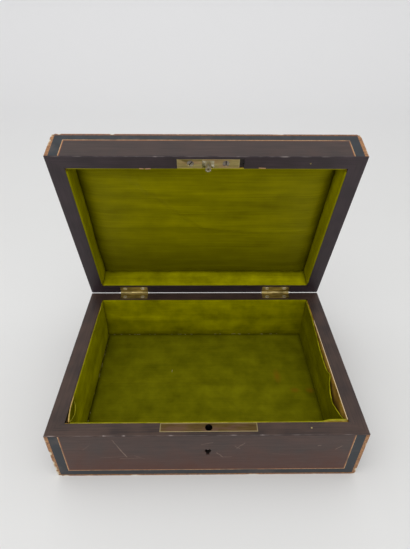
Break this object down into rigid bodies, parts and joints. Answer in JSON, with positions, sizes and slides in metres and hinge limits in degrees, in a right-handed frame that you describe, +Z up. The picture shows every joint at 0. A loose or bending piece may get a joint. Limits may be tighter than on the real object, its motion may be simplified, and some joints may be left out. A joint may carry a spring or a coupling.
{
  "type": "stationery box",
  "caption": "Rectangular inlaid wooden box with a hinged lid, a brass link plate lock and a padded silk lining, standing open.",
  "frame": {"origin": "centre of the base's underside, where the box rests", "axes": "+X to the right along the front, +Y from the front to the hinged back, +Z up"},
  "size_m": [0.25, 0.2071, 0.236],
  "materials": {
    "carcass_wood": "sawn and planed pale softwood, left bare inside",
    "dark_veneer": "dark stained rosewood veneer, worn polish",
    "blue_black_banding": "dyed blue-black veneer band",
    "light_stringing": "boxwood line",
    "light_edge_strips": "boxwood edge strip, worn and chipped",
    "dark_rim_facing": "ebonised facing, satin",
    "lining_silk": "olive green silk with slubs",
    "lining_card": "pasteboard",
    "aged_brass": "aged and tarnished brass",
    "worn_nickel_brass": "brass rubbed bright",
    "screw_steel": "steel screws",
    "spring_steel": "blued spring steel"
  },
  "bodies": {
    "base": {"base_board": "carcass_wood", "base_front_wall": "carcass_wood", "base_back_wall": "carcass_wood", "base_left_wall": "carcass_wood", "base_right_wall": "carcass_wood", "base_front_veneer": "dark_veneer", "base_back_veneer": "dark_veneer", "base_left_veneer": "dark_veneer", "base_right_veneer": "dark_veneer", "base_banding": "blue_black_banding", "base_stringing": "light_stringing", "base_corner_strips": "light_edge_strips", "base_bottom_strips": "light_edge_strips", "base_rim": "dark_rim_facing", "base_lining_cards": "lining_card", "base_floor_card": "lining_card", "base_floor_silk": "lining_silk", "base_front_silk": "lining_silk", "base_back_silk": "lining_silk", "base_left_silk": "lining_silk", "base_right_silk": "lining_silk", "lock_plate": "aged_brass", "lock_case": "aged_brass", "lock_spring": "spring_steel", "key_pin": "worn_nickel_brass", "guide_studs": "worn_nickel_brass", "lock_screws": "screw_steel", "hinge_base_leaves": "aged_brass", "hinge_pins": "aged_brass", "hinge_base_screws": "screw_steel"},
    "lid": {"hinge_lid_leaves": "aged_brass", "hinge_lid_screws": "screw_steel", "lid_top_board": "carcass_wood", "lid_front_wall": "carcass_wood", "lid_back_wall": "carcass_wood", "lid_left_wall": "carcass_wood", "lid_right_wall": "carcass_wood", "lid_top_veneer": "dark_veneer", "lid_front_veneer": "dark_veneer", "lid_back_veneer": "dark_veneer", "lid_left_veneer": "dark_veneer", "lid_right_veneer": "dark_veneer", "lid_banding": "blue_black_banding", "lid_stringing": "light_stringing", "lid_corner_strips": "light_edge_strips", "lid_top_strips": "light_edge_strips", "lid_rim": "dark_rim_facing", "lid_lining_cards": "lining_card", "lid_panel_card": "lining_card", "lid_panel_silk": "lining_silk", "lid_front_silk": "lining_silk", "lid_back_silk": "lining_silk", "lid_left_silk": "lining_silk", "lid_right_silk": "lining_silk", "link_plate": "aged_brass", "link_post": "worn_nickel_brass", "link_screws": "screw_steel"},
    "lock_bolt": {"lock_bolt": "worn_nickel_brass"}
  },
  "joints": [
    {"name": "lid_hinge", "type": "hinge", "parent": "base", "child": "lid", "pos_m": [0, 0.0901, 0.05607], "axis": [-1, 0, 0], "range_deg": [-73, 27]},
    {"name": "bolt_slide", "type": "slide", "parent": "base", "child": "lock_bolt", "axis": [1, 0, 0], "range_m": [0, 0.0055]}
  ]
}
